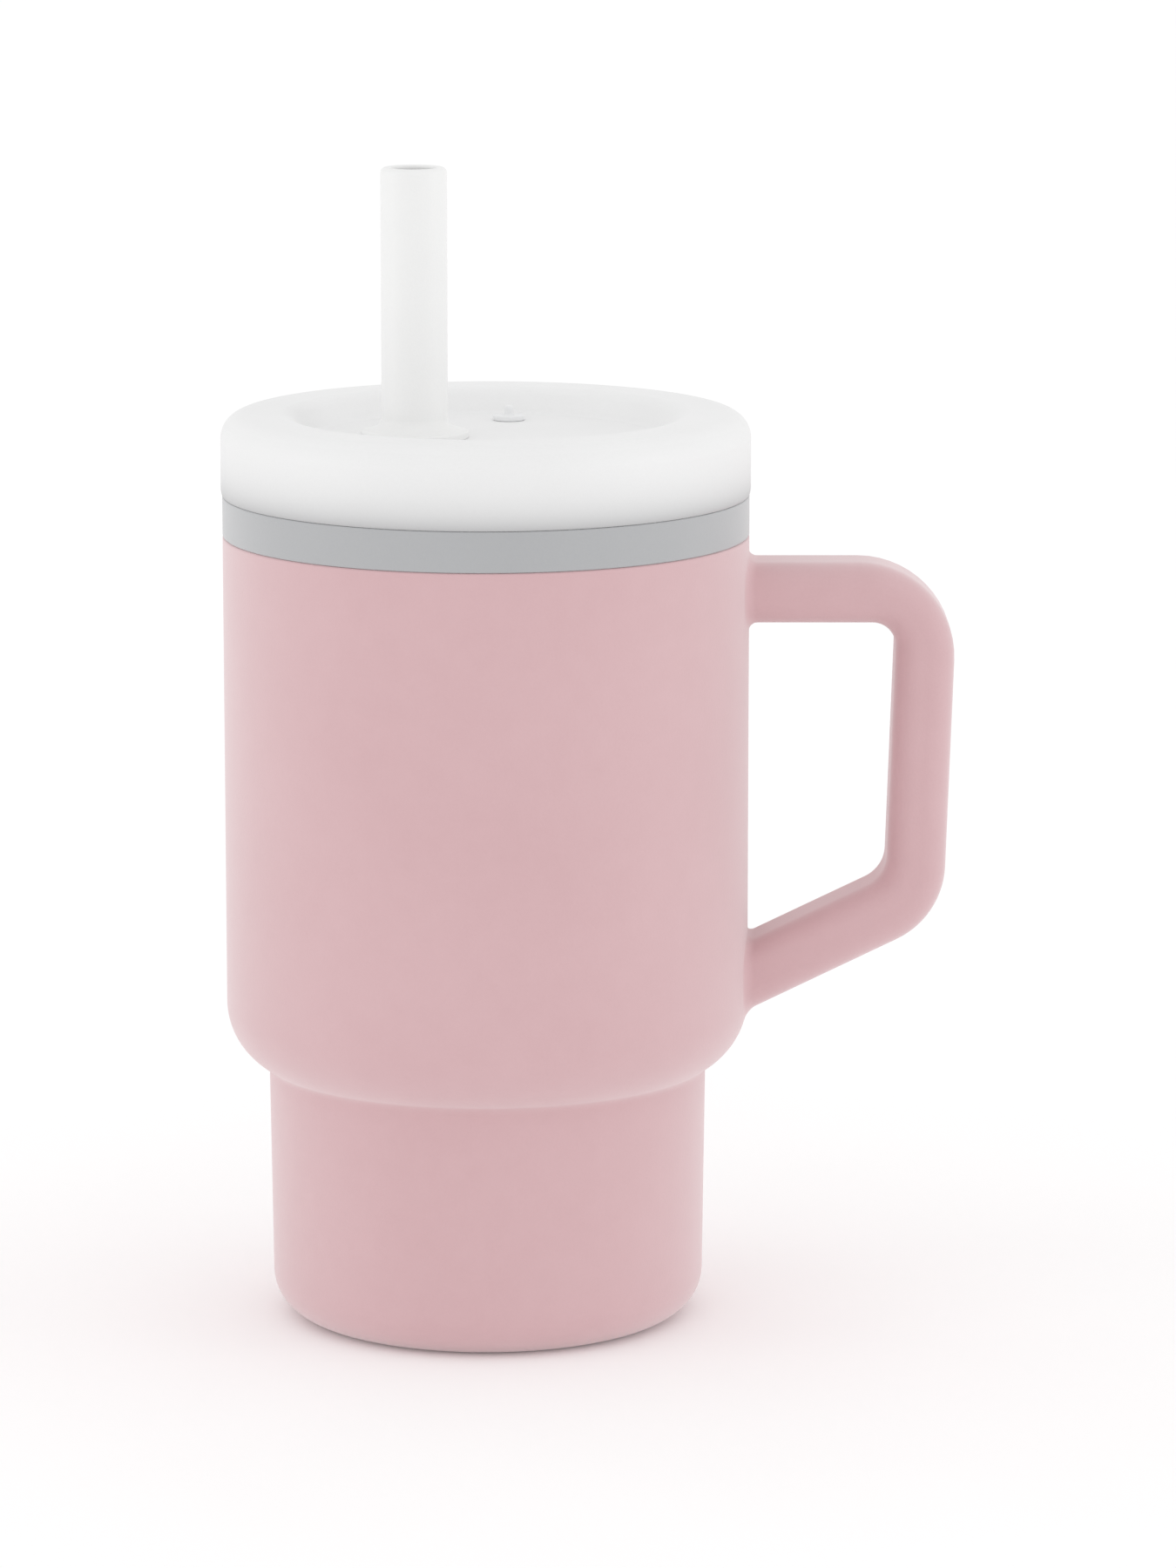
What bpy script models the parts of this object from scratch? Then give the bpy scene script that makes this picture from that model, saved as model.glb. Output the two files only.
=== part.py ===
"""A toddler's straw cup: a soft sleeve with a side handle, a rigid cup, a push-on lid and a straw.

Metres, +Z up. The origin is the middle of the underside, and the handle points along +X.
"""

import math

import bmesh
import bpy

# Driving sizes.
BODY_RADIUS = 0.0390
SLEEVE_HEIGHT = 0.1179
FOOT_STEP = 0.0063
FOOT_HEIGHT = 0.0382
FOOT_DRAFT = 0.0004
FOOT_EDGE_RADIUS = 0.0065
SHOULDER_RADIUS = 0.0105
SHOULDER_LIFT = 0.65
LEAST_EDGE_RADIUS = 0.0010
SLEEVE_WALL = 0.0024
SLEEVE_FLOOR = 0.0030
SLEEVE_LIP_RADIUS = 0.0006

CUP_WALL = 0.0018
CUP_FLOOR = 0.0020
BAND_HEIGHT = 0.0057
BAND_EDGE_RADIUS = 0.0004
NECK_HEIGHT = 0.0046

LID_HEIGHT = 0.0120
LID_OVERHANG = 0.0002
LID_WALL = 0.0020
LID_TOP_WALL = 0.0022
LID_EDGE_RADIUS = 0.0036
LID_SKIRT_RADIUS = 0.0012
LID_RIM_WIDTH = 0.0102
DISH_DEPTH = 0.0037
DISH_SLOPE = 0.0030
PLUG_END = 0.0020
PLUG_WALL = 0.0024
GROOVE_DEPTH = 0.0010
GROOVE_DROP = 0.0012
GASKET_HEIGHT = 0.0030
GASKET_REACH = 0.0012
GASKET_BEAD = 0.0005

HANDLE_REACH = 0.0309
HANDLE_DEPTH = 0.0135
HANDLE_DROP = 0.0036
HANDLE_BAR = 0.0090
HANDLE_GRIP = 0.0088
HANDLE_BRACE = 0.0093
HANDLE_EDGE_RADIUS = 0.0034
HANDLE_TOP_RADIUS = 0.0142
HANDLE_ELBOW_RADIUS = 0.0127
WINDOW_CORNER_RADIUS = 0.0035
WINDOW_ELBOW_RADIUS = 0.0053
GRIP_LEAN = math.radians(1.95)
BRACE_SLOPE = math.radians(25.8)
BRACE_DROP = 0.0011

STRAW_OFFSET = 0.0105
STRAW_RADIUS = 0.0049
STRAW_WALL = 0.0017
STRAW_LIP_RADIUS = 0.0008
STRAW_ABOVE_LID = 0.0362
COLLAR_REACH = 0.0031
COLLAR_HEIGHT = 0.0027
COLLAR_RIM = 0.0007
SPOUT_PLUG_SWELL = 0.0003
SPOUT_PLUG_LENGTH = 0.0100
SOCKET_WALL = 0.0012
SOCKET_DEPTH = 0.0080
VALVE_FLANGE = 0.0014
VALVE_WALL = 0.0007
VALVE_SLIT = 0.0004
TUBE_WALL = 0.0010
TUBE_FLOOR_CLEARANCE = 0.0035
TUBE_END_SLOPE = math.radians(35)

VENT_INSET = 0.0067
VENT_ANGLE = math.radians(80.5)
VENT_HOLE_RADIUS = 0.0016
VENT_HEAD_RADIUS = 0.0024
VENT_HEAD_HEIGHT = 0.0005
VENT_NUB_RADIUS = 0.0007
VENT_NUB_HEIGHT = 0.0014
VENT_TAIL = 0.0022

# Two moulded faces that meet are kept this far apart.
GAP = 0.0003

BIG_STEPS = 48
SMALL_STEPS = 24
ARC_STEPS = 5

# Heights and radii that follow.
FOOT_RADIUS = BODY_RADIUS - FOOT_STEP - FOOT_DRAFT
BAND_Z = SLEEVE_HEIGHT + GAP
BAND_TOP_Z = BAND_Z + BAND_HEIGHT
LID_Z = BAND_TOP_Z + GAP
LID_TOP_Z = LID_Z + LID_HEIGHT
LID_RADIUS = BODY_RADIUS + LID_OVERHANG
DISH_RADIUS = LID_RADIUS - LID_RIM_WIDTH
DISH_FLOOR_RADIUS = DISH_RADIUS - DISH_SLOPE
DISH_Z = LID_TOP_Z - DISH_DEPTH
LID_UNDER_Z = DISH_Z - LID_TOP_WALL
CUP_RADIUS = BODY_RADIUS - SLEEVE_WALL - GAP
CUP_BORE = CUP_RADIUS - CUP_WALL
CUP_Z = SLEEVE_FLOOR + GAP
CUP_FLOOR_Z = CUP_Z + CUP_FLOOR
NECK_RADIUS = LID_RADIUS - LID_WALL - GAP
GASKET_RADIUS = CUP_BORE - GAP
PLUG_RADIUS = GASKET_RADIUS - GASKET_REACH + GAP
GROOVE_Z = LID_Z - GROOVE_DROP
GROOVE_LOW_Z = GROOVE_Z - GASKET_HEIGHT - 2 * GAP
PLUG_Z = GROOVE_LOW_Z - PLUG_END
SPOUT_Z = DISH_Z + GAP
SPOUT_TOP_Z = LID_TOP_Z + STRAW_ABOVE_LID
SPOUT_FOOT_Z = LID_UNDER_Z - SPOUT_PLUG_LENGTH
SPOUT_BORE = STRAW_RADIUS - STRAW_WALL
SPOUT_PLUG_RADIUS = STRAW_RADIUS + SPOUT_PLUG_SWELL
COLLAR_RADIUS = STRAW_RADIUS + COLLAR_REACH
SOCKET_RADIUS = SPOUT_PLUG_RADIUS - SOCKET_WALL
SOCKET_Z = SPOUT_FOOT_Z + SOCKET_DEPTH
VALVE_RADIUS = SOCKET_RADIUS - GAP
TUBE_RADIUS = SOCKET_RADIUS - GAP
TUBE_CUT_SIDE = 6 * TUBE_RADIUS
VENT_DISTANCE = DISH_FLOOR_RADIUS - VENT_INSET
VENT_CENTRE = (VENT_DISTANCE * math.cos(VENT_ANGLE), VENT_DISTANCE * math.sin(VENT_ANGLE))


def clear_scene():
    """An empty scene, whatever the file held."""
    for obj in list(bpy.data.objects):
        bpy.data.objects.remove(obj)


def new_collection(name):
    """A collection in the scene."""
    collection = bpy.data.collections.new(name)
    bpy.context.scene.collection.children.link(collection)
    return collection


def new_material(name, colour, roughness):
    """A plastic or silicone of one colour."""
    material = bpy.data.materials.new(name)
    material.use_nodes = True
    shader = material.node_tree.nodes["Principled BSDF"]
    shader.inputs["Base Color"].default_value = (*colour, 1.0)
    shader.inputs["Roughness"].default_value = roughness
    shader.inputs["Metallic"].default_value = 0.0
    return material


def arc(centre, radius, start, end):
    """Points of an arc in a plane, from one angle to another in degrees."""
    angles = [math.radians(start + (end - start) * i / ARC_STEPS) for i in range(ARC_STEPS + 1)]
    return [(centre[0] + radius * math.cos(a), centre[1] + radius * math.sin(a)) for a in angles]


def rounded(corners):
    """A closed outline of (x, z, radius) corners, each rounded by an arc of its radius."""
    outline = []
    for i, (x, z, radius) in enumerate(corners):
        before = corners[i - 1]
        after = corners[(i + 1) % len(corners)]
        to_before = math.atan2(before[1] - z, before[0] - x)
        to_after = math.atan2(after[1] - z, after[0] - x)
        if radius == 0:
            outline.append((x, z))
            continue
        turn = math.remainder(to_after - to_before, math.tau)
        half = turn / 2
        middle = to_before + half
        reach = radius / abs(math.sin(half))
        centre = (x + reach * math.cos(middle), z + reach * math.sin(middle))
        quarter = math.copysign(math.pi / 2, turn)
        start = math.degrees(to_before - quarter)
        sweep = math.degrees(math.remainder(to_after + quarter - to_before + quarter, math.tau))
        outline += arc(centre, radius, start, start + sweep)
    return outline


def turned(name, profile, material, collection, steps, closed=False, centre=(0, 0)):
    """A profile of (radius, height) points, turned round an upright line at the centre."""
    points = [(radius, 0, height) for radius, height in profile]
    edges = [(i, i + 1) for i in range(len(points) - 1)]
    if closed:
        edges.append((len(points) - 1, 0))
    mesh = bpy.data.meshes.new(name)
    mesh.from_pydata(points, edges, [])
    obj = bpy.data.objects.new(name, mesh)
    obj.location = (centre[0], centre[1], 0)
    mesh.materials.append(material)
    collection.objects.link(obj)
    screw = obj.modifiers.new("Turn", "SCREW")
    screw.axis = "Z"
    screw.steps = steps
    screw.render_steps = steps
    screw.use_merge_vertices = True
    screw.merge_threshold = 0.00001
    return obj


def as_tool(obj):
    """Marks an object as one that only shapes others."""
    obj.hide_render = True
    obj.display_type = "WIRE"
    return obj


def shape(obj, tool, operation):
    """Joins the tool to the object, or cuts the object with it."""
    modifier = obj.modifiers.new(tool.name, "BOOLEAN")
    modifier.operation = operation
    modifier.solver = "EXACT"
    modifier.object = as_tool(tool)


def box(name, size, location, turn, collection):
    """A box with its place and its turn about Y."""
    bpy.ops.mesh.primitive_cube_add(size=1, location=location, rotation=(0, turn, 0))
    obj = bpy.context.object
    obj.name = name
    obj.scale = size
    for old in list(obj.users_collection):
        old.objects.unlink(obj)
    collection.objects.link(obj)
    return obj


def vessel_line(inset, top, floor, lip=0.0):
    """The body's outside line, moved inwards by an inset, from its top edge to the middle of its floor.

    The shoulder is also lifted by a share of the inset, which keeps the wall about as thick there.
    """
    wall = BODY_RADIUS - inset
    foot = FOOT_RADIUS - inset
    crease = foot + FOOT_DRAFT
    lift = SHOULDER_LIFT * inset
    sweep = math.degrees(math.acos(1 - (wall - crease) / SHOULDER_RADIUS))
    shoulder_z = FOOT_HEIGHT + lift + SHOULDER_RADIUS * math.sin(math.radians(sweep))
    edge = max(FOOT_EDGE_RADIUS - inset, LEAST_EDGE_RADIUS)
    line = arc((wall - lip, top - lip), lip, 90, 0) if lip else [(wall, top)]
    line += arc((wall - SHOULDER_RADIUS, shoulder_z), SHOULDER_RADIUS, 0, -sweep)
    line += arc((foot - edge, floor + edge), edge, 0, -90)
    return line + [(0, floor)]


def shoulder_start():
    """The height at which the straight wall ends and the shoulder curves in."""
    return vessel_line(0, SLEEVE_HEIGHT, 0)[1][1]


def handle_outline():
    """The handle from the side: a level bar, a grip that leans in, and a brace down to the shoulder.

    The brace's underside meets the wall a little below the shoulder's start.
    """
    root = CUP_BORE - HANDLE_EDGE_RADIUS
    top = SLEEVE_HEIGHT - HANDLE_DROP
    under_bar = top - HANDLE_BAR
    out = BODY_RADIUS + HANDLE_REACH
    lean = math.tan(GRIP_LEAN)
    slope = math.tan(BRACE_SLOPE)
    brace_rise = HANDLE_BRACE / math.cos(BRACE_SLOPE)
    foot = shoulder_start() - BRACE_DROP

    def elbow(inwards, upwards):
        """Where the grip's face, moved inwards, meets the brace's face, moved upwards."""
        height = foot + upwards + slope * (out - inwards - lean * top - BODY_RADIUS)
        height /= 1 - slope * lean
        return out - inwards - lean * (top - height), height

    outer_elbow = elbow(0, 0)
    inner_elbow = elbow(HANDLE_GRIP, brace_rise)
    inner_top = out - HANDLE_GRIP - lean * HANDLE_BAR
    drop = slope * (BODY_RADIUS - root)
    return rounded(
        [
            (root, top, 0),
            (out, top, HANDLE_TOP_RADIUS),
            (*outer_elbow, HANDLE_ELBOW_RADIUS),
            (root, foot - drop, 0),
            (root, foot + brace_rise - drop, 0),
            (*inner_elbow, WINDOW_ELBOW_RADIUS),
            (inner_top, under_bar, WINDOW_CORNER_RADIUS),
            (root, under_bar, 0),
        ]
    )


def make_handle_tool(tools):
    """The handle's outline, given its depth and its rounded edges."""
    curve = bpy.data.curves.new("handle_outline", "CURVE")
    curve.dimensions = "2D"
    curve.fill_mode = "BOTH"
    curve.bevel_depth = HANDLE_EDGE_RADIUS
    curve.bevel_resolution = 2
    curve.offset = -HANDLE_EDGE_RADIUS
    curve.extrude = HANDLE_DEPTH / 2 - HANDLE_EDGE_RADIUS
    outline = handle_outline()
    spline = curve.splines.new("POLY")
    spline.points.add(len(outline) - 1)
    for point, (x, z) in zip(spline.points, outline):
        point.co = (x, z, 0, 1)
    spline.use_cyclic_u = True
    drawn = bpy.data.objects.new("handle_outline", curve)
    drawn.rotation_euler = (math.radians(90), 0, 0)
    tools.objects.link(drawn)
    bpy.context.view_layer.update()
    evaluated = drawn.evaluated_get(bpy.context.evaluated_depsgraph_get())
    mesh = bpy.data.meshes.new_from_object(evaluated)
    weld(mesh)
    handle = bpy.data.objects.new("handle_shape", mesh)
    handle.matrix_world = drawn.matrix_world
    tools.objects.link(handle)
    bpy.data.objects.remove(drawn)
    return handle


def weld(mesh):
    """Joins the caps of a filled curve to its sides."""
    shell = bmesh.new()
    shell.from_mesh(mesh)
    bmesh.ops.remove_doubles(shell, verts=shell.verts, dist=0.000001)
    bmesh.ops.recalc_face_normals(shell, faces=shell.faces)
    shell.to_mesh(mesh)
    shell.free()


def make_sleeve(parts, tools):
    """The soft outer body and its handle, open at the top for the cup."""
    pink = new_material("soft_pink_silicone", (0.72, 0.46, 0.47), 0.6)
    outside = [(0, SLEEVE_HEIGHT)] + vessel_line(0, SLEEVE_HEIGHT, 0, SLEEVE_LIP_RADIUS)
    sleeve = turned("silicone_sleeve", outside, pink, parts, BIG_STEPS)
    shape(sleeve, make_handle_tool(tools), "UNION")
    above = SLEEVE_HEIGHT + SLEEVE_WALL
    inside = [(0, above)] + vessel_line(SLEEVE_WALL, above, SLEEVE_FLOOR)
    shape(sleeve, turned("sleeve_cavity", inside, pink, tools, BIG_STEPS), "DIFFERENCE")


def make_inner_cup(parts):
    """The rigid cup: its band shows above the sleeve, and its neck stands up inside the lid."""
    grey = new_material("light_grey_plastic", (0.52, 0.52, 0.53), 0.4)
    neck_top = BAND_TOP_Z + NECK_HEIGHT
    inset = SLEEVE_WALL + GAP
    inside = vessel_line(inset + CUP_WALL, neck_top, CUP_FLOOR_Z)
    outside = vessel_line(inset, BAND_Z, CUP_Z)
    edge = BAND_EDGE_RADIUS
    band = arc((BODY_RADIUS - edge, BAND_TOP_Z - edge), edge, 90, 0)
    band += arc((BODY_RADIUS - edge, BAND_Z + edge), edge, 0, -90)
    rim = [(NECK_RADIUS, neck_top), (NECK_RADIUS, BAND_TOP_Z)]
    turned("inner_cup", inside[::-1] + rim + band + outside, grey, parts, BIG_STEPS)


def make_lid(parts, tools):
    """The lid: a dished top, a skirt that stands on the band, and a plug that carries the seal."""
    white = new_material("white_silicone", (0.86, 0.86, 0.86), 0.5)
    crown = LID_EDGE_RADIUS
    skirt = LID_SKIRT_RADIUS
    channel_z = LID_TOP_Z - LID_TOP_WALL
    groove = PLUG_RADIUS - GROOVE_DEPTH
    profile = [(0, DISH_Z), (DISH_FLOOR_RADIUS, DISH_Z), (DISH_RADIUS, LID_TOP_Z)]
    profile += arc((LID_RADIUS - crown, LID_TOP_Z - crown), crown, 90, 0)
    profile += arc((LID_RADIUS - skirt, LID_Z + skirt), skirt, 0, -90)
    profile += [
        (LID_RADIUS - LID_WALL, LID_Z),
        (LID_RADIUS - LID_WALL, channel_z),
        (PLUG_RADIUS, channel_z),
        (PLUG_RADIUS, GROOVE_Z),
        (groove, GROOVE_Z),
        (groove, GROOVE_LOW_Z),
        (PLUG_RADIUS, GROOVE_LOW_Z),
        (PLUG_RADIUS, PLUG_Z),
        (PLUG_RADIUS - PLUG_WALL, PLUG_Z),
        (PLUG_RADIUS - PLUG_WALL, LID_UNDER_Z),
        (0, LID_UNDER_Z),
    ]
    lid = turned("lid_cap", profile, white, parts, BIG_STEPS)
    for name, radius, centre in (
        ("straw_hole", SPOUT_PLUG_RADIUS + GAP, (-STRAW_OFFSET, 0)),
        ("vent_hole", VENT_HOLE_RADIUS, VENT_CENTRE),
    ):
        hole = [(0, LID_TOP_Z), (radius, LID_TOP_Z), (radius, PLUG_Z), (0, PLUG_Z)]
        shape(lid, turned(name, hole, white, tools, SMALL_STEPS, centre=centre), "DIFFERENCE")


def make_gasket(parts):
    """The soft ring in the groove round the lid's plug."""
    clear = new_material("translucent_silicone", (0.80, 0.80, 0.80), 0.4)
    inner = PLUG_RADIUS - GROOVE_DEPTH + GAP
    top = GROOVE_Z - GAP
    low = top - GASKET_HEIGHT
    waist = GASKET_RADIUS - GASKET_BEAD
    middle = (top + low) / 2
    profile = [
        (inner, top),
        (waist, top),
        (GASKET_RADIUS, top - GASKET_BEAD / 2),
        (GASKET_RADIUS, middle + GASKET_BEAD),
        (waist, middle + GASKET_BEAD / 2),
        (waist, middle - GASKET_BEAD / 2),
        (GASKET_RADIUS, middle - GASKET_BEAD),
        (GASKET_RADIUS, low + GASKET_BEAD / 2),
        (waist, low),
        (inner, low),
    ]
    turned("lid_gasket", profile, clear, parts, BIG_STEPS, closed=True)


def make_straw(parts, tools):
    """The spout with its collar on the lid, the valve in its foot, and the tube down to the drink."""
    white = new_material("white_soft_straw", (0.88, 0.88, 0.87), 0.4)
    clear = new_material("clear_valve_silicone", (0.80, 0.80, 0.80), 0.4)
    centre = (-STRAW_OFFSET, 0)
    lip = STRAW_LIP_RADIUS
    flare = COLLAR_HEIGHT - COLLAR_RIM
    profile = [(SPOUT_BORE, SPOUT_TOP_Z)]
    profile += arc((STRAW_RADIUS - lip, SPOUT_TOP_Z - lip), lip, 90, 0)
    for i in range(ARC_STEPS + 1):
        angle = math.pi / 2 * i / ARC_STEPS
        radius = STRAW_RADIUS + COLLAR_REACH * (1 - math.cos(angle))
        profile.append((radius, SPOUT_Z + COLLAR_HEIGHT - flare * math.sin(angle)))
    profile += [
        (COLLAR_RADIUS, SPOUT_Z),
        (SPOUT_PLUG_RADIUS, SPOUT_Z),
        (SPOUT_PLUG_RADIUS, SPOUT_FOOT_Z),
        (SOCKET_RADIUS, SPOUT_FOOT_Z),
        (SOCKET_RADIUS, SOCKET_Z),
        (SPOUT_BORE, SOCKET_Z),
    ]
    turned("straw_spout", profile, white, parts, SMALL_STEPS, closed=True, centre=centre)

    flange_top = SOCKET_Z - GAP
    flange_low = flange_top - VALVE_FLANGE
    dome = SPOUT_BORE - GAP
    inner_dome = dome - VALVE_WALL
    profile = arc((0, flange_top), inner_dome, 90, 0) + [(inner_dome, flange_low)]
    profile += [(VALVE_RADIUS, flange_low), (VALVE_RADIUS, flange_top)]
    profile += arc((0, flange_top), dome, 0, 90)
    valve = turned("straw_valve", profile, clear, parts, SMALL_STEPS, centre=centre)
    slit = (2 * VALVE_SLIT, dome, dome)
    place = (-STRAW_OFFSET, 0, flange_top + dome)
    shape(valve, box("valve_slit", slit, place, 0, tools), "DIFFERENCE")

    top = flange_low - GAP
    foot = CUP_FLOOR_Z + TUBE_FLOOR_CLEARANCE
    bore = TUBE_RADIUS - TUBE_WALL
    profile = [(bore, top), (TUBE_RADIUS, top), (TUBE_RADIUS, foot), (bore, foot)]
    tube = turned("straw_tube", profile, white, parts, SMALL_STEPS, closed=True, centre=centre)
    side = TUBE_CUT_SIDE
    drop = side / 2 / math.cos(TUBE_END_SLOPE) - TUBE_RADIUS * math.tan(TUBE_END_SLOPE)
    place = (-STRAW_OFFSET, 0, foot - drop)
    shape(tube, box("tube_end_cut", (side, side, side), place, TUBE_END_SLOPE, tools), "DIFFERENCE")


def make_vent(parts, tools):
    """The vent plug: a thin head in the dish, a small nub to pull it by, and a slit tail through the lid."""
    clear = new_material("vent_silicone", (0.80, 0.80, 0.80), 0.4)
    stem = VENT_HOLE_RADIUS - GAP
    head_z = DISH_Z + GAP
    head_top = head_z + VENT_HEAD_HEIGHT
    tail_z = LID_UNDER_Z - VENT_TAIL
    profile = [
        (0, head_top + VENT_NUB_HEIGHT),
        (VENT_NUB_RADIUS, head_top + VENT_NUB_HEIGHT),
        (VENT_NUB_RADIUS, head_top),
        (VENT_HEAD_RADIUS, head_top),
        (VENT_HEAD_RADIUS, head_z),
        (stem, head_z),
        (stem, tail_z),
        (0, tail_z),
    ]
    vent = turned("vent_valve", profile, clear, parts, SMALL_STEPS, centre=VENT_CENTRE)
    slit = (VALVE_SLIT, 3 * stem, 2 * VENT_TAIL)
    shape(vent, box("vent_slit", slit, (*VENT_CENTRE, tail_z), 0, tools), "DIFFERENCE")


clear_scene()
straw_cup = new_collection("straw_cup")
shaping_tools = new_collection("shaping_tools")
shaping_tools.hide_render = True
make_sleeve(straw_cup, shaping_tools)
make_inner_cup(straw_cup)
make_gasket(straw_cup)
make_lid(straw_cup, shaping_tools)
make_straw(straw_cup, shaping_tools)
make_vent(straw_cup, shaping_tools)
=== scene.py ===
"""A toddler's straw cup: the finished look of each moulding, in the order in which the cup goes together.

Metres, +Z up. The origin is the middle of the underside, and the handle points along +X.
"""

import math

import bmesh
import bpy
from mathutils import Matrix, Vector


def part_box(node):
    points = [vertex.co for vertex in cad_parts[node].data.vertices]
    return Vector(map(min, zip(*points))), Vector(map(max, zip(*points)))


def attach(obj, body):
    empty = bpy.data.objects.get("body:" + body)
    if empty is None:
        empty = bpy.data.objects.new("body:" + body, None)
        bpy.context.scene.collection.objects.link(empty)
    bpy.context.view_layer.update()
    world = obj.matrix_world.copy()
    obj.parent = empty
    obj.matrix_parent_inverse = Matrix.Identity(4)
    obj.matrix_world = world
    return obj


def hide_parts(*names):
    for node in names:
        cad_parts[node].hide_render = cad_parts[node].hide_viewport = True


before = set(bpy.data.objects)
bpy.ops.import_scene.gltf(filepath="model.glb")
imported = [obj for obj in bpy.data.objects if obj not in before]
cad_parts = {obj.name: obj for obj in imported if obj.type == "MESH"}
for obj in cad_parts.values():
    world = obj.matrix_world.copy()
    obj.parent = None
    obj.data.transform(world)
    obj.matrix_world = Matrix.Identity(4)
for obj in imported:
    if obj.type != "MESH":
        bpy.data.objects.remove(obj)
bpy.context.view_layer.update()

# ---------------------------------------------------------------------------------------------------------
# The sleeve: the soft outer body with its handle, one moulding of pink silicone with a matt, powdery skin.
# It is pulled up over the rigid cup. Where the handle runs into the wall, both roots are filleted, and the
# shoulder narrows to a foot that fits a small hand or a cup holder.

sleeve_low, sleeve_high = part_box("silicone_sleeve")
body_radius = -sleeve_low.x
sleeve_top = sleeve_high.z

# Two mouldings that press on each other keep a small gap, and a seam that shows is closed to a hairline.
moulding_gap = 0.0003
seat_gap = 0.00004
lip_top = sleeve_top + moulding_gap - seat_gap
sleeve_wall = 0.0024
sleeve_floor = 0.0030
sleeve_lip = 0.0004
foot_radius = 0.0323
foot_height = 0.0382
foot_draft = 0.0004
foot_edge = 0.0065
shoulder_radius = 0.0105
shoulder_lift = 0.65
crease_radius = 0.0016
least_edge = 0.0010

handle_drop = 0.0036
bar_top = sleeve_top - handle_drop
bar_thickness = 0.0090
grip_thickness = 0.0088
brace_thickness = 0.0093
brace_drop = 0.0011
handle_depth = 0.0135
handle_edge = 0.0034
top_corner = 0.0142
elbow_corner = 0.0127
window_corner = 0.0035
window_elbow = 0.0053
grip_lean = math.tan(math.radians(1.95))
brace_angle = math.radians(25.8)
root_fillet = 0.0014
root_margin = 0.0007

BODY_STEPS = 192
ROOT_COLUMNS = 14
ROOT_ROWS = 10
WINDOW_ROWS = 6
SHOULDER_ROWS = 5
CORNER_STEPS = 6
HANDLE_TURNS = 14
ARC_TURNS = 12
SHOULDER_TURNS = 18
SAME_PLACE = 0.00001
DOUBLES = 0.000002
SHARP_ANGLE = math.radians(40)


def deselect():
    """Nothing is left selected, so that the next operator acts on its own piece only."""
    bpy.ops.object.select_all(action="DESELECT")


def pick(piece):
    """Makes a piece the only selected one."""
    deselect()
    piece.select_set(True)
    bpy.context.view_layer.objects.active = piece


def spaced(first, last, steps):
    """Evenly spaced values, both ends included."""
    return [first + (last - first) * i / steps for i in range(steps + 1)]


def arc(centre, radius, start, end, turns=ARC_TURNS):
    """Points of an arc, from one angle to another in radians."""
    return [
        (centre[0] + radius * math.cos(angle), centre[1] + radius * math.sin(angle))
        for angle in spaced(start, end, turns)
    ]


def fillet(before, corner, after, radius, turns):
    """The arc that rounds a corner between two straight stretches."""
    corner = Vector(corner)
    back = (Vector(before) - corner).normalized()
    onward = (Vector(after) - corner).normalized()
    half = back.angle(onward) / 2
    centre = corner + (back + onward).normalized() * radius / math.sin(half)
    cut = radius / math.tan(half)
    first = corner + back * cut - centre
    last = corner + onward * cut - centre
    start = math.atan2(first.y, first.x)
    sweep = math.remainder(math.atan2(last.y, last.x) - start, math.tau)
    return arc(centre, radius, start, start + sweep, turns)


def soften(corners, turns=ARC_TURNS):
    """An outline of (radius, height, edge radius) corners, each rounded by its edge radius."""
    outline = []
    for i, (radius, height, edge) in enumerate(corners):
        if edge:
            after = corners[(i + 1) % len(corners)]
            outline += fillet(corners[i - 1][:2], (radius, height), after[:2], edge, turns)
        else:
            outline.append((radius, height))
    return outline


def spun(name, outline, axis=(0, 0), steps=BODY_STEPS, closed=False):
    """A turned piece: its outline is drawn corner by corner, then spun round an upright axis."""
    corners = [Vector((axis[0] + radius, axis[1], height)) for radius, height in outline]
    if closed:
        corners.append(corners[0])
    deselect()
    bpy.ops.mesh.primitive_plane_add(enter_editmode=True)
    piece = bpy.context.object
    piece.name = name
    bpy.ops.mesh.select_mode(type="VERT")
    bpy.ops.mesh.merge(type="CENTER")
    bpy.ops.transform.translate(value=corners[0])
    for before, after in zip(corners, corners[1:]):
        bpy.ops.mesh.extrude_vertices_move(TRANSFORM_OT_translate={"value": after - before})
    bpy.ops.mesh.select_all(action="SELECT")
    bpy.ops.mesh.spin(steps=steps, angle=math.tau, center=(*axis, 0), axis=(0, 0, 1))
    bpy.ops.mesh.select_all(action="SELECT")
    bpy.ops.mesh.remove_doubles(threshold=DOUBLES)
    bpy.ops.mesh.fill_holes(sides=0)
    bpy.ops.mesh.normals_make_consistent(inside=False)
    bpy.ops.object.mode_set(mode="OBJECT")
    return piece


def choose(piece, kind, wanted):
    """In edit mode, selects the piece's edges or faces that are wanted, judged by their middles."""
    bpy.ops.mesh.select_mode(type=kind)
    bpy.ops.mesh.select_all(action="DESELECT")
    mesh = bmesh.from_edit_mesh(piece.data)
    for part in {"EDGE": mesh.edges, "FACE": mesh.faces}[kind]:
        corners = [vert.co for vert in part.verts]
        part.select = wanted(part, sum(corners, Vector()) / len(corners))
    mesh.select_flush_mode()
    bmesh.update_edit_mesh(piece.data)


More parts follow.
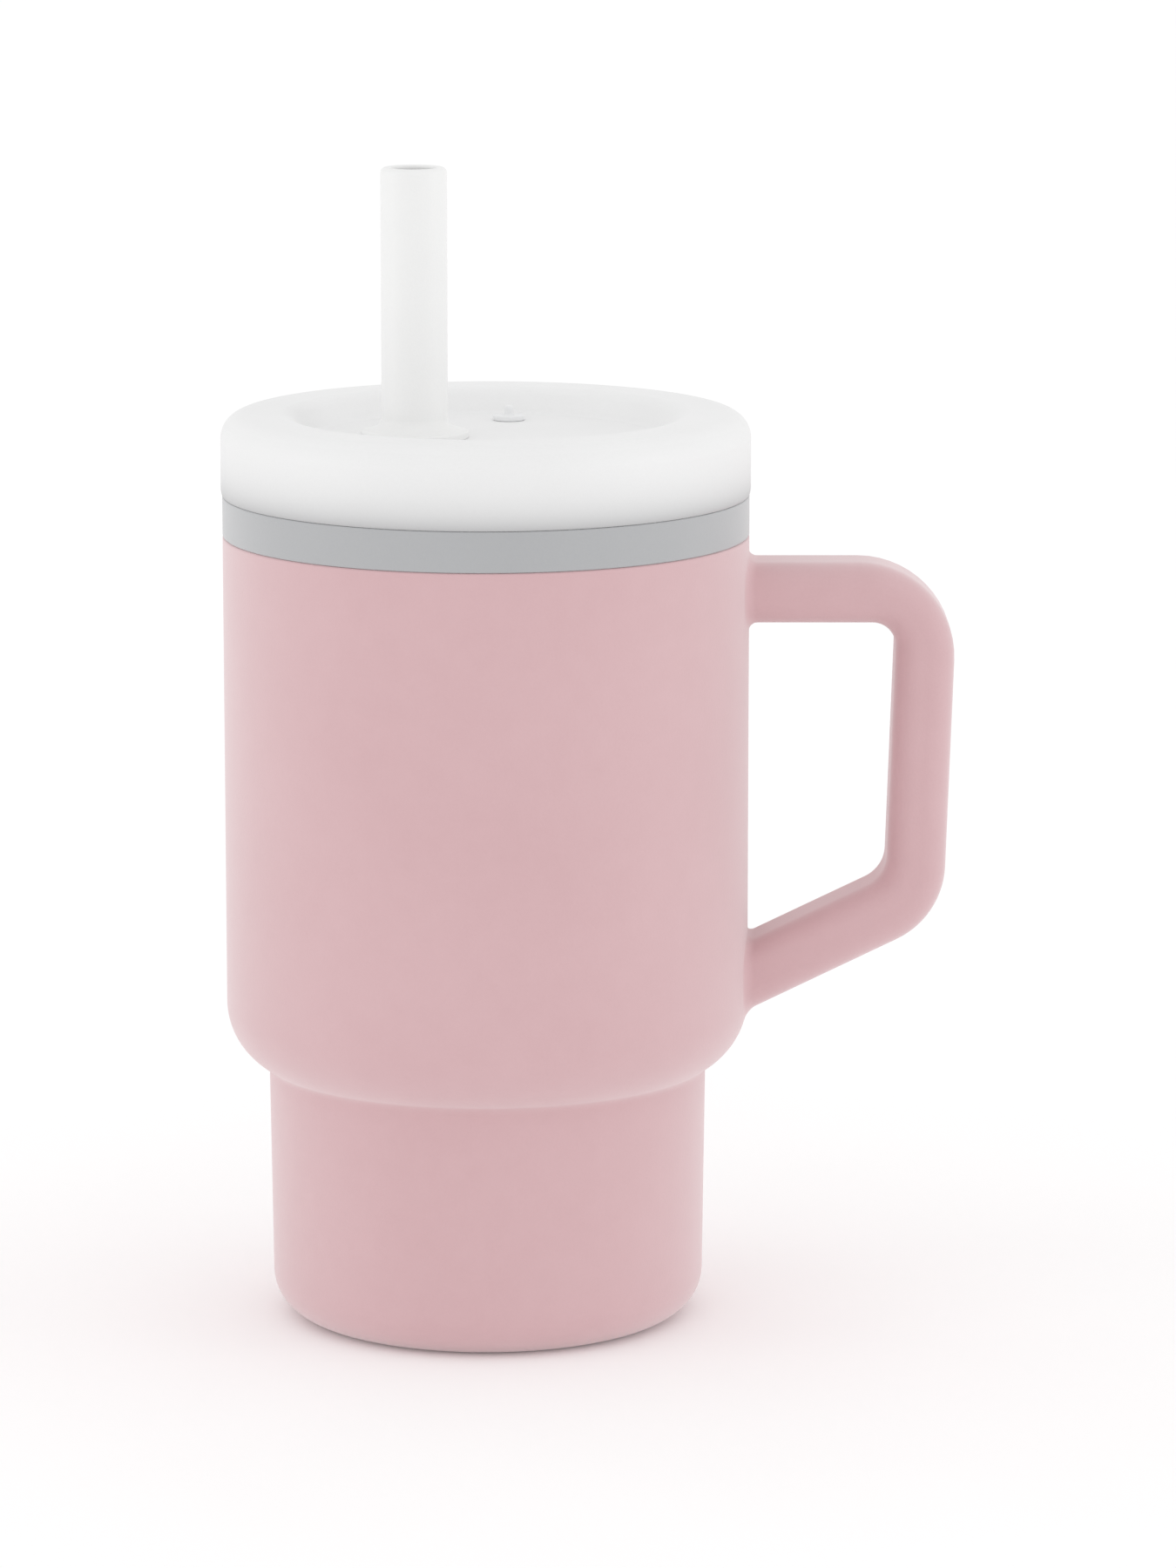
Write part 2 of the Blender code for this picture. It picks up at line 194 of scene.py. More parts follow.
def vessel_line(inset, top, floor, rows=()):
    """The body's outside line moved inwards by an inset, from its top edge to the flat of its floor."""
    wall = body_radius - inset
    foot = foot_radius - inset
    crease = foot + foot_draft
    inner_bend = crease_radius + inset
    lift = shoulder_lift * inset
    drop = math.sqrt(shoulder_radius**2 - (shoulder_radius - wall + crease) ** 2)
    centre = Vector((wall - shoulder_radius, foot_height + lift + drop))
    across = crease + inner_bend - centre.x
    bend = centre + Vector((across, -math.sqrt((shoulder_radius + inner_bend) ** 2 - across**2)))
    slant = math.atan2(bend.y - centre.y, bend.x - centre.x)
    edge = max(foot_edge - inset, least_edge)
    line = [(wall, top)] + [(wall, height) for height in rows]
    line += arc(centre, shoulder_radius, 0, slant, SHOULDER_TURNS)
    line += arc(bend, inner_bend, slant + math.pi, math.pi, ARC_TURNS // 2)[1:]
    line += arc((foot - edge, floor + edge), edge, 0, -math.pi / 2)
    return line


def shoulder_start():
    """The height at which the straight wall ends and the shoulder curves in."""
    return vessel_line(0, sleeve_top, 0)[1][1]


def wall_reach(across, height):
    """How far along X the outside of the body is, off to one side and at a height."""
    fall = max(shoulder_start() - height, 0)
    radius = body_radius - shoulder_radius + math.sqrt(shoulder_radius**2 - fall**2)
    return math.sqrt(radius**2 - across**2)


brace_slope = math.tan(brace_angle)
brace_rise = brace_thickness / math.cos(brace_angle)
bar_under = bar_top - bar_thickness
shoulder_z = shoulder_start()
brace_foot = shoulder_z - brace_drop
grip_x = sleeve_high.x - top_corner + top_corner * (grip_lean + math.hypot(1, grip_lean))

# The wall has a row of faces at each height where a handle root joins it, and a few more rows between the
# two roots. The lower root reaches down onto the first rows of the shoulder's curve.
root_reach = root_fillet + root_margin
bar_rows = spaced(bar_top + root_reach, bar_under - root_reach, ROOT_ROWS)
brace_top = brace_foot + brace_rise + root_reach
brace_rows = spaced(brace_top, shoulder_z, ROOT_ROWS - SHOULDER_ROWS)[:-1]
window_rows = spaced(bar_rows[-1], brace_top, WINDOW_ROWS)[1:-1]
outside = vessel_line(0, lip_top - sleeve_lip, 0, bar_rows + window_rows + brace_rows)
mouth = body_radius - sleeve_wall
rim_edges = [(mouth, foot_height, 0), (mouth, lip_top, sleeve_lip / 2)]
rim_edges += [(body_radius, lip_top, sleeve_lip), (body_radius, foot_height, 0)]
inside = vessel_line(sleeve_wall, lip_top - sleeve_lip, sleeve_floor)
sleeve = spun("sleeve", inside[::-1][:-1] + soften(rim_edges)[1:-1] + outside[1:])

# The wall is opened where the handle's two roots join it.
root_side = body_radius * math.sin(math.pi * ROOT_COLUMNS / BODY_STEPS)
brace_low = outside[outside.index((body_radius, brace_rows[-1])) + 1 + SHOULDER_ROWS][1]
bpy.ops.object.mode_set(mode="EDIT")
for above, below in ((bar_rows[0], bar_rows[-1]), (brace_top, brace_low)):
    choose(
        sleeve,
        "FACE",
        lambda face, at: below < at.z < above
        and abs(at.y) < root_side
        and at.x > mouth
        and face.normal.x > 0,
    )
    bpy.ops.mesh.delete(type="FACE")
bpy.ops.object.mode_set(mode="OBJECT")


def elbow(face_x, rise):
    """Where a face of the grip meets a face of the brace."""
    height = brace_foot + rise + brace_slope * (face_x - grip_lean * bar_top - body_radius)
    height /= 1 - brace_slope * grip_lean
    return face_x - grip_lean * (bar_top - height), height


# The handle's outer and inner lines are a ladder: ring number n of the bar lies on rung number n.
outer_line = [(body_radius, bar_top), (grip_x, bar_top), elbow(grip_x, 0), (body_radius, brace_foot)]
inner_top = (grip_x - grip_thickness - grip_lean * bar_thickness, bar_under)
inner_elbow = elbow(grip_x - grip_thickness, brace_rise)
inner_line = [(body_radius, bar_under), inner_top, inner_elbow, (body_radius, brace_foot + brace_rise)]
outer_rungs = fillet(*outer_line[:3], top_corner, HANDLE_TURNS)
outer_rungs += fillet(*outer_line[1:], elbow_corner, HANDLE_TURNS)
inner_rungs = fillet(*inner_line[:3], window_corner, HANDLE_TURNS)
inner_rungs += fillet(*inner_line[1:], window_elbow, HANDLE_TURNS)
flare = spaced(math.pi / 2, 0, CORNER_STEPS)
last_ring = 2 * len(flare) + len(outer_rungs) - 1
flat_side = handle_depth / 2 - handle_edge
flat_rise = bar_thickness / 2 - handle_edge


def on_wall(across, off_middle, middle, slope, reach):
    """A point of a root ring, which stands off the body's curved wall by its reach."""
    height = middle + off_middle
    out = wall_reach(across, height) + reach
    height += slope * (out - body_radius)
    return wall_reach(across, height) + reach, across, height


def on_rung(across, off_middle, rung):
    """A point of a ring that lies on a rung of the ladder."""
    inner = Vector(inner_rungs[rung])
    outer = Vector(outer_rungs[rung])
    point = (inner + outer) / 2 + (outer - inner).normalized() * off_middle
    return point.x, across, point.y


def bent(ring, side, rise):
    """Where a point of the straight bar goes when the bar is bent into the handle."""
    from_end = min(ring, last_ring - ring)
    rung = ring - len(flare)
    at_root = from_end < len(flare)
    angle = flare[from_end] if at_root else 0
    spread = root_fillet * (1 - math.cos(angle))
    if not at_root:
        half = (Vector(outer_rungs[rung]) - Vector(inner_rungs[rung])).length / 2
    else:
        half = (bar_thickness if ring == from_end else brace_rise) / 2
    core_side = max(min(side, flat_side), -flat_side)
    core_rise = max(min(rise, flat_rise), -flat_rise)
    across = side + (side - core_side) / handle_edge * spread
    off_middle = core_rise / flat_rise * (half - handle_edge)
    off_middle += (rise - core_rise) * (1 + spread / handle_edge)
    if not at_root:
        return on_rung(across, off_middle, rung)
    reach = root_fillet * (1 - math.sin(angle))
    if ring == from_end:
        return on_wall(across, off_middle, bar_top - bar_thickness / 2, 0, reach)
    return on_wall(across, -off_middle, brace_foot + brace_rise / 2, brace_slope, reach)


# The handle starts as a straight bar with rounded edges, ring by ring, and is then bent to its ladder.
ring_pitch = 0.001
deselect()
bpy.ops.mesh.primitive_plane_add(size=1, rotation=(0, math.pi / 2, 0))
handle = bpy.context.object
handle.scale = (bar_thickness, handle_depth, 1)
bpy.ops.object.transform_apply()
bpy.ops.object.mode_set(mode="EDIT")
bpy.ops.mesh.bevel(affect="VERTICES", offset=handle_edge, segments=CORNER_STEPS, profile=0.5)
bpy.ops.mesh.delete(type="ONLY_FACE")
choose(handle, "EDGE", lambda edge, at: abs(edge.calc_length() - 2 * flat_side) < SAME_PLACE)
bpy.ops.mesh.subdivide(number_cuts=ROOT_COLUMNS - CORNER_STEPS - 1)
choose(handle, "EDGE", lambda edge, at: abs(edge.calc_length() - 2 * flat_rise) < SAME_PLACE)
bpy.ops.mesh.subdivide(number_cuts=ROOT_ROWS - CORNER_STEPS - 1)
bpy.ops.mesh.select_all(action="SELECT")
for ring in range(last_ring):
    bpy.ops.mesh.extrude_edges_move(TRANSFORM_OT_translate={"value": (ring_pitch, 0, 0)})
mesh = bmesh.from_edit_mesh(handle.data)
for vert in mesh.verts:
    vert.co = bent(round(vert.co.x / ring_pitch), vert.co.y, vert.co.z)
bmesh.update_edit_mesh(handle.data)
bpy.ops.object.mode_set(mode="OBJECT")

# Its open ends are bridged to the openings in the wall, which makes the two one moulding.
pick(sleeve)
handle.select_set(True)
bpy.ops.object.join()
bpy.ops.object.mode_set(mode="EDIT")
brace_joint = (brace_low - root_margin, brace_top + root_margin)
bar_joint = (bar_rows[-1] - root_margin, sleeve_top)
for low, high in (brace_joint, bar_joint):
    choose(sleeve, "EDGE", lambda edge, at: edge.is_boundary and low < at.z < high)
    bpy.ops.mesh.bridge_edge_loops()
bpy.ops.mesh.select_all(action="SELECT")
bpy.ops.mesh.normals_make_consistent(inside=False)
bpy.ops.object.mode_set(mode="OBJECT")
pick(sleeve)
bpy.ops.object.shade_smooth_by_angle(angle=SHARP_ANGLE)


class Varying:
    """A value that changes over a surface. The operators on it add the Math nodes that work it out."""

    def __init__(self, finish, socket):
        self.finish = finish
        self.socket = socket

    def __add__(self, other):
        return self.finish.maths("ADD", self, other)

    def __rsub__(self, other):
        return self.finish.maths("SUBTRACT", other, self)

    def __mul__(self, other):
        return self.finish.maths("MULTIPLY", self, other)

    __radd__ = __add__
    __rmul__ = __mul__


class Finish:
    """A moulded surface, whose colour, gloss and grain vary with the place on the piece."""

    def __init__(self, name, constants):
        self.material = bpy.data.materials.new(name)
        self.material.use_nodes = True
        self.tree = self.material.node_tree
        self.shader = self.tree.nodes["Principled BSDF"]
        for socket, value in constants.items():
            self.shader.inputs[socket].default_value = value
        self.place = self.node("ShaderNodeTexCoord", output="Object")

    def node(self, kind, settings=None, inputs=None, output=0):
        """Adds a node of a kind. Its settings are made first, then its sockets are set or linked."""
        node = self.tree.nodes.new(kind)
        for name, value in (settings or {}).items():
            setattr(node, name, value)
        for name, value in (inputs or {}).items():
            if isinstance(value, Varying):
                self.tree.links.new(value.socket, node.inputs[name])
            else:
                node.inputs[name].default_value = value
        return Varying(self, node.outputs[output])

    def maths(self, operation, *values):
        """Adds a Math node that works on numbers and varying values."""
        return self.node("ShaderNodeMath", {"operation": operation}, dict(enumerate(values)))

    def noise(self, grain_size, detail=2.0):
        """Soft random grain of a size in metres, about 0.5 on average."""
        sockets = {"Vector": self.place, "Scale": 1 / grain_size, "Detail": detail}
        return self.node("ShaderNodeTexNoise", inputs=sockets)

    def mix(self, share, first, second):
        """A colour between two, by a share from 0 to 1."""
        sockets = {0: share}
        for socket, colour in ((6, first), (7, second)):
            sockets[socket] = colour if isinstance(colour, Varying) else (*colour, 1)
        return self.node("ShaderNodeMix", {"data_type": "RGBA", "clamp_factor": True}, sockets, output=2)

    def lay(self, socket, value):
        """Links a value to one of the shader's own sockets."""
        self.tree.links.new(value.socket, self.shader.inputs[socket])

    def grain(self, height, depth):
        """Presses a height pattern into the surface, to a depth in metres."""
        sockets = {"Height": height, "Distance": depth, "Strength": 1.0}
        self.lay("Normal", self.node("ShaderNodeBump", inputs=sockets))

    def coat(self, piece):
        """Gives the finish to a piece."""
        piece.data.materials.clear()
        piece.data.materials.append(self.material)


deep_pink = (0.585, 0.362, 0.380)
pale_pink = (0.675, 0.452, 0.472)
pink_bloom = {"Sheen Weight": 0.72, "Sheen Roughness": 0.55, "Sheen Tint": (1.0, 0.97, 0.97, 1)}
pink = Finish("soft_pink_silicone", {"IOR": 1.41, **pink_bloom})
cloudy = pink.noise(0.030)
mottled = pink.noise(0.0040)
powder = pink.noise(0.00035, detail=3.0)
shade = 0.45 * cloudy + 0.30 * mottled + 0.25 * powder
pink.lay("Base Color", pink.mix(shade, deep_pink, pale_pink))
pink.lay("Roughness", 0.52 + 0.14 * mottled + 0.08 * powder)
pink.grain(0.7 * powder + 0.3 * mottled, depth=0.00003)
pink.coat(sleeve)
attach(sleeve, "cup")
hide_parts("silicone_sleeve")

# ---------------------------------------------------------------------------------------------------------
# The inner cup: a rigid, light grey injection moulding that holds the drink. Its rim band stands on the
# sleeve's lip and is flush with it, and the neck above the band stands up inside the lid.

cup_low, cup_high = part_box("inner_cup")
cup_wall = 0.0018
cup_floor = 0.0020
band_low = lip_top + seat_gap
neck_height = 0.0046
lid_base = cup_high.z - neck_height + moulding_gap
band_high = lid_base - seat_gap
band_edge = 0.0002
band_root_edge = 0.0001
neck_radius = 0.0369
neck_edge = 0.0005
cup_inset = sleeve_wall + moulding_gap
cup_bore = body_radius - cup_inset - cup_wall
rim_reach = 0.001

rim = [
    (cup_bore, foot_height, 0),
    (cup_bore, cup_high.z, neck_edge),
    (neck_radius, cup_high.z, neck_edge),
    (neck_radius, band_high, neck_edge),
    (body_radius, band_high, band_edge),
    (body_radius, band_low, band_edge),
    (body_radius - cup_inset, band_low, band_root_edge),
    (body_radius - cup_inset, foot_height, 0),
]
drink_side = vessel_line(cup_inset + cup_wall, cup_high.z - rim_reach, cup_low.z + cup_floor)
sleeve_side = vessel_line(cup_inset, sleeve_top - rim_reach, cup_low.z)
cup = spun("inner_cup_shell", drink_side[::-1] + soften(rim, turns=8)[1:-1] + sleeve_side)


def flatten_shading(piece):
    """Smooth shading with sharp edges kept, whose flats stay flat beside their rounded edges."""
    pick(piece)
    bpy.ops.object.shade_smooth_by_angle(angle=SHARP_ANGLE)
    weighted = piece.modifiers.new("flats", "WEIGHTED_NORMAL")
    weighted.keep_sharp = True
    bpy.ops.object.modifier_apply(modifier=weighted.name)


flatten_shading(cup)
deep_grey = (0.375, 0.38, 0.39)
pale_grey = (0.445, 0.45, 0.46)
grey = Finish("light_grey_plastic", {"IOR": 1.49, "Sheen Weight": 0.50, "Sheen Roughness": 0.5})
cloudy = grey.noise(0.020)
speckle = grey.noise(0.00030, detail=3.0)
grey.lay("Base Color", grey.mix(0.6 * cloudy + 0.4 * speckle, deep_grey, pale_grey))
grey.lay("Roughness", 0.40 + 0.10 * speckle)
grey.grain(speckle, depth=0.000015)
grey.coat(cup)
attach(cup, "cup")
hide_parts("inner_cup")

# ---------------------------------------------------------------------------------------------------------
# The lid: one soft white moulding with a rounded crown, a shallow dish in its top, a skirt that stands on
# the band, and a plug that goes down inside the cup. The straw and the vent push through holes in the dish.

lid_low, lid_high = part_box("lid_cap")
vent_low, vent_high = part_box("vent_valve")
spout_low, spout_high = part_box("straw_spout")
lid_radius = -lid_low.x
lid_wall = 0.0020
lid_crown = 0.0036
skirt_tuck = 0.0003
skirt_rise = 0.0012
rim_width = 0.0102
dish_depth = 0.0037
dish_slope = 0.0030
dish_edge = 0.0030
dish_foot = 0.0014
plate_thickness = 0.0022
plug_radius = 0.0333
plug_wall = 0.0024
groove_depth = 0.0010
groove_drop = 0.0012
groove_height = 0.0036
groove_top = lid_base - groove_drop
groove_low = groove_top - groove_height
soft_edge = 0.0005
skirt_edge = 0.0003
groove_edge = 0.0002
tuck_sweep = math.radians(84)
# Strength, and height of fall-off, of the painted shade at the skirt's lower edge.
painted_shade_strength = 0.92
painted_shade_rise = 0.0027
dish_radius = lid_radius - rim_width
dish_z = lid_high.z - dish_depth
under_dish = dish_z - plate_thickness
channel_top = lid_high.z - plate_thickness

# A corner near the axis is left off the outline: it only steers the rounding of the corner beside it.
near_axis = 0.001
top = [
    (near_axis, dish_z, 0),
    (dish_radius - dish_slope, dish_z, dish_foot),
    (dish_radius, lid_high.z, dish_edge),
    (lid_radius, lid_high.z, lid_crown),
    (lid_radius, lid_base + skirt_rise, 0),
]
tuck = [
    (lid_radius - skirt_tuck * (1 - math.cos(angle)), lid_base + skirt_rise * (1 - math.sin(angle)))
    for angle in spaced(0, tuck_sweep, ARC_TURNS)
]
under = [
    (lid_radius - skirt_tuck, lid_base, 0),
    (lid_radius - lid_wall, lid_base, skirt_edge),
    (lid_radius - lid_wall, channel_top, soft_edge),
    (plug_radius, channel_top, soft_edge),
    (plug_radius, groove_top, groove_edge),
    (plug_radius - groove_depth, groove_top, groove_edge),
    (plug_radius - groove_depth, groove_low, groove_edge),
    (plug_radius, groove_low, groove_edge),
    (plug_radius, lid_low.z, soft_edge),
    (plug_radius - plug_wall, lid_low.z, soft_edge),
    (plug_radius - plug_wall, under_dish, soft_edge),
    (near_axis, under_dish, 0),
]
lid = spun("lid", soften(top, turns=16)[1:-1] + tuck + soften(under, turns=6)[:-1])


def cut(piece, tool):
    """Cuts a piece with a tool, which is then thrown away."""
    pick(piece)
    boolean = piece.modifiers.new("cut", "BOOLEAN")
    boolean.operation = "DIFFERENCE"
    boolean.object = tool
    bpy.ops.object.modifier_apply(modifier=boolean.name)
    bpy.data.objects.remove(tool)


spout_axis = ((spout_low.x + spout_high.x) / 2, 0)
vent_axis = ((vent_low.x + vent_high.x) / 2, (vent_low.y + vent_high.y) / 2)
straw_hole = 0.0055
vent_hole = 0.0016
hole_edge = 0.0003
hole_steps = 64
hole_edge_segments = 4
punch_length = 3 * dish_depth
for centre, radius in ((spout_axis, straw_hole), (vent_axis, vent_hole)):
    deselect()
    bpy.ops.mesh.primitive_cylinder_add(
        vertices=hole_steps, radius=radius, depth=punch_length, location=(*centre, dish_z)
    )
    cut(lid, bpy.context.object)
    bpy.ops.object.mode_set(mode="EDIT")
    choose(
        lid,
        "EDGE",
        lambda edge, at: min(abs(at.z - dish_z), abs(at.z - under_dish)) < SAME_PLACE
        and abs((at.xy - Vector(centre)).length - radius) < 2 * SAME_PLACE,
    )
    bpy.ops.mesh.bevel(offset=hole_edge, segments=hole_edge_segments)
    bpy.ops.object.mode_set(mode="OBJECT")

flatten_shading(lid)
soft_white = (0.80, 0.80, 0.80)
clean_white = (0.87, 0.87, 0.87)
# The grey of the painted shade at the skirt's lower edge.
painted_shade_grey = (0.44, 0.44, 0.445)
white = Finish("white_silicone", {"IOR": 1.43, "Sheen Weight": 0.10, "Sheen Roughness": 0.5})
cloudy = white.noise(0.025)
powder = white.noise(0.00035, detail=3.0)
bright = white.mix(0.6 * cloudy + 0.4 * powder, soft_white, clean_white)

# Painted shade: the skirt's base colour is mixed towards grey near its lower edge, where the lid meets the
# band, standing in for the shade that falls there.
height = white.node("ShaderNodeSeparateXYZ", inputs={0: white.place}, output="Z")
flat_place = white.node("ShaderNodeVectorMath", {"operation": "MULTIPLY"}, {0: white.place, 1: (1, 1, 0)})
from_axis = white.node("ShaderNodeVectorMath", {"operation": "LENGTH"}, {0: flat_place}, output="Value")
on_skirt = white.maths("GREATER_THAN", from_axis, lid_radius - lid_wall / 2)
painted_shade_fade = white.maths("EXPONENT", (lid_base - height) * (1 / painted_shade_rise))
white.lay("Base Color", white.mix(painted_shade_strength * on_skirt * painted_shade_fade, bright, painted_shade_grey))
white.lay("Roughness", 0.45 + 0.12 * powder)
white.grain(powder, depth=0.00002)
white.coat(lid)
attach(lid, "lid")
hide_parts("lid_cap")

# ---------------------------------------------------------------------------------------------------------
# The gasket: a clear ring of soft silicone, moulded with two sealing beads round its outside. It is
# stretched into the groove round the lid's plug, and seals the plug against the inside of the cup.

gasket_low, gasket_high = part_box("lid_gasket")
gasket_radius = -gasket_low.x
gasket_inner = plug_radius - groove_depth + moulding_gap
gasket_middle = (gasket_low.z + gasket_high.z) / 2
bead = 0.0005
bead_rise = (gasket_high.z - gasket_low.z) / 2 - bead
waist_depth = 1.2 * bead
waist_edge = 0.0003
gasket_edge = 0.0002
ring_section = [
    (gasket_inner, gasket_high.z, gasket_edge),
    (gasket_radius - bead, gasket_high.z, gasket_edge),
    (gasket_radius, gasket_middle + bead_rise, bead),
    (gasket_radius - waist_depth, gasket_middle, waist_edge),
    (gasket_radius, gasket_middle - bead_rise, bead),
    (gasket_radius - bead, gasket_low.z, gasket_edge),
    (gasket_inner, gasket_low.z, gasket_edge),
]
gasket = spun("gasket", soften(ring_section, turns=5), closed=True)
flatten_shading(gasket)
deep_clear = (0.78, 0.785, 0.79)
pale_clear = (0.85, 0.855, 0.86)
clear = Finish("clear_silicone", {"IOR": 1.41, "Sheen Weight": 0.10, "Sheen Roughness": 0.5})
smears = clear.noise(0.006)
clear.lay("Base Color", clear.mix(smears, deep_clear, pale_clear))
clear.lay("Roughness", 0.26 + 0.16 * smears)
clear.grain(clear.noise(0.0009), depth=0.00001)
clear.coat(gasket)
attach(gasket, "seal")
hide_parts("lid_gasket")

# ---------------------------------------------------------------------------------------------------------
# The vent: a little clear plug, pulled by its nub through the hole in the dish. Its tail is slit, so that
# air comes in as the child drinks but nothing runs out.

vent_head = (vent_high.x - vent_low.x) / 2
vent_head_z = dish_z + seat_gap
vent_head_thickness = 0.0008
vent_head_top = dish_z + vent_head_thickness
nub_radius = 0.0007
nub_edge = 0.0004
head_edge = 0.0002
head_seat_edge = 0.0001
stem_radius = vent_hole - moulding_gap
stem_edge = 0.0002
tail_edge = 0.0003
end_flat = 0.0001
vent_steps = 48
plug_section = [
    (end_flat, vent_high.z, 0),
    (nub_radius, vent_high.z, nub_edge),
    (nub_radius, vent_head_top, nub_edge),
    (vent_head, vent_head_top, head_edge),
    (vent_head, vent_head_z, head_seat_edge),
    (stem_radius, vent_head_z, stem_edge),
    (stem_radius, vent_low.z, tail_edge),
    (end_flat, vent_low.z, 0),
]
vent = spun("vent_plug", soften(plug_section, turns=5), axis=vent_axis, steps=vent_steps)
slit_width = 0.0002
slit_height = 0.0030
vent_slit_length = 3 * stem_radius
deselect()
bpy.ops.mesh.primitive_cube_add(size=1, location=(*vent_axis, vent_low.z))
slit = bpy.context.object
slit.scale = (slit_width, vent_slit_length, slit_height)
bpy.ops.object.transform_apply()
cut(vent, slit)
flatten_shading(vent)
clear.coat(vent)
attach(vent, "lid")
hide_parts("vent_valve")

# ---------------------------------------------------------------------------------------------------------
# The spout: the soft white straw that the child drinks from. Its flared collar rests in the dish, its plug
# is pushed through the lid, and the plug's socket holds the valve and the tube.

spout_radius = 0.0049
spout_bore = 0.0032
spout_lip = 0.0008
collar_height = 0.0027
collar_rim = 0.0007
collar_radius = (spout_high.x - spout_low.x) / 2
collar_low = dish_z + moulding_gap
collar_seat = dish_z + seat_gap / 2
spout_plug = 0.0052
socket_radius = 0.0040
socket_depth = 0.0080
socket_top = spout_low.z + socket_depth
bore_lip = 0.0005
collar_edge = 0.0003
collar_seat_edge = 0.0001
collar_root = 0.0002
spout_foot_edge = 0.0004
socket_mouth_edge = 0.0003
socket_edge = 0.0002
spout_steps = 96
collar_curve = [
    (
        spout_radius + (collar_radius - spout_radius) * (1 - math.cos(angle)),
        collar_low + collar_height - (collar_height - collar_rim) * math.sin(angle),
    )
    for angle in spaced(0, math.pi / 2, ARC_TURNS)
]

# The end corners of the tip, and the first of the socket, only steer the corners beside them.
tip = [
    (spout_bore, socket_top, 0),
    (spout_bore, spout_high.z, bore_lip),
    (spout_radius, spout_high.z, spout_lip),
    (spout_radius, collar_low + collar_height, 0),
]
socket = [
    (spout_radius, collar_low + collar_rim, 0),
    (collar_radius, collar_low + collar_rim, collar_edge),
    (collar_radius, collar_seat, collar_seat_edge),
    (spout_plug, collar_seat, collar_root),
    (spout_plug, spout_low.z, spout_foot_edge),
    (socket_radius, spout_low.z, socket_mouth_edge),
    (socket_radius, socket_top, socket_edge),
    (spout_bore, socket_top, socket_edge),
]
spout_section = soften(tip, turns=8)[1:-1] + collar_curve[:-1] + soften(socket, turns=6)[1:]
spout = spun("spout", spout_section, axis=spout_axis, steps=spout_steps, closed=True)
flatten_shading(spout)
straw_shade = (0.82, 0.82, 0.815)
straw_bright = (0.88, 0.88, 0.875)
straw_white = Finish("white_soft_straw", {"IOR": 1.43, "Sheen Weight": 0.10, "Sheen Roughness": 0.5})
cloudy = straw_white.noise(0.012)
powder = straw_white.noise(0.00030, detail=3.0)
straw_white.lay("Base Color", straw_white.mix(0.6 * cloudy + 0.4 * powder, straw_shade, straw_bright))
straw_white.lay("Roughness", 0.40 + 0.12 * powder)
straw_white.grain(powder, depth=0.000012)
straw_white.coat(spout)
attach(spout, "straw")
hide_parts("straw_spout")

# ---------------------------------------------------------------------------------------------------------
# The straw valve: a clear silicone dome with a slit, which lets the drink through when the child draws on
# the straw. Its flange is clamped in the spout's socket by the tube below it.

valve_low, valve_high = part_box("straw_valve")
valve_radius = (valve_high.x - valve_low.x) / 2
flange_top = socket_top - moulding_gap
dome_radius = spout_bore - moulding_gap
dome_wall = 0.0007
flange_edge = 0.0002
dome_slit_length = 1.2 * dome_radius
dome_sweep = math.radians(88)
dome_turns = 10
tube_steps = 64
dome_outer = arc((0, flange_top), dome_radius, 0, dome_sweep, dome_turns)
dome_inner = arc((0, flange_top), dome_radius - dome_wall, dome_sweep, 0, dome_turns)
flange = soften(
    [
        (dome_radius - dome_wall, flange_top, 0),
        (dome_radius - dome_wall, valve_low.z, flange_edge),
        (valve_radius, valve_low.z, flange_edge),
        (valve_radius, flange_top, flange_edge),
        (dome_radius, flange_top, 0),
    ],
    turns=4,
)
valve = spun("spout_valve", dome_inner + flange[1:-1] + dome_outer, axis=spout_axis, steps=tube_steps)
deselect()
bpy.ops.mesh.primitive_cube_add(size=1, location=(*spout_axis, flange_top + dome_radius))
slit = bpy.context.object
slit.scale = (slit_width, dome_slit_length, dome_radius)
bpy.ops.object.transform_apply()
cut(valve, slit)
flatten_shading(valve)
clear.coat(valve)
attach(valve, "straw")
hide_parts("straw_valve")

# ---------------------------------------------------------------------------------------------------------
# The tube: the lower straw, an extruded white tube pushed up into the spout's socket. Its foot is cut on a
# slant, so that it can't seal itself against the floor of the cup.

tube_low, tube_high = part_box("straw_tube")
tube_radius = (tube_high.x - tube_low.x) / 2
tube_wall = 0.0010
tube_bore = tube_radius - tube_wall
tube_cut = math.radians(35)
tube_edge = 0.0002
tube_foot = tube_low.z + tube_radius * math.tan(tube_cut)
walls = [
    (tube_bore, tube_low.z - tube_radius, 0),
    (tube_bore, tube_high.z, tube_edge),
    (tube_radius, tube_high.z, tube_edge),
    (tube_radius, tube_low.z - tube_radius, 0),
]
tube = spun("tube", soften(walls, turns=4), axis=spout_axis, steps=tube_steps, closed=True)
bpy.ops.object.mode_set(mode="EDIT")
bpy.ops.mesh.select_all(action="SELECT")
bpy.ops.mesh.bisect(
    plane_co=(*spout_axis, tube_foot),
    plane_no=(math.sin(tube_cut), 0, -math.cos(tube_cut)),
    clear_outer=True,
)
choose(tube, "EDGE", lambda edge, at: edge.is_boundary)
bpy.ops.mesh.bridge_edge_loops()
bpy.ops.mesh.select_all(action="SELECT")
bpy.ops.mesh.normals_make_consistent(inside=False)
bpy.ops.object.mode_set(mode="OBJECT")
flatten_shading(tube)
straw_white.coat(tube)
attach(tube, "straw")
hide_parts("straw_tube")

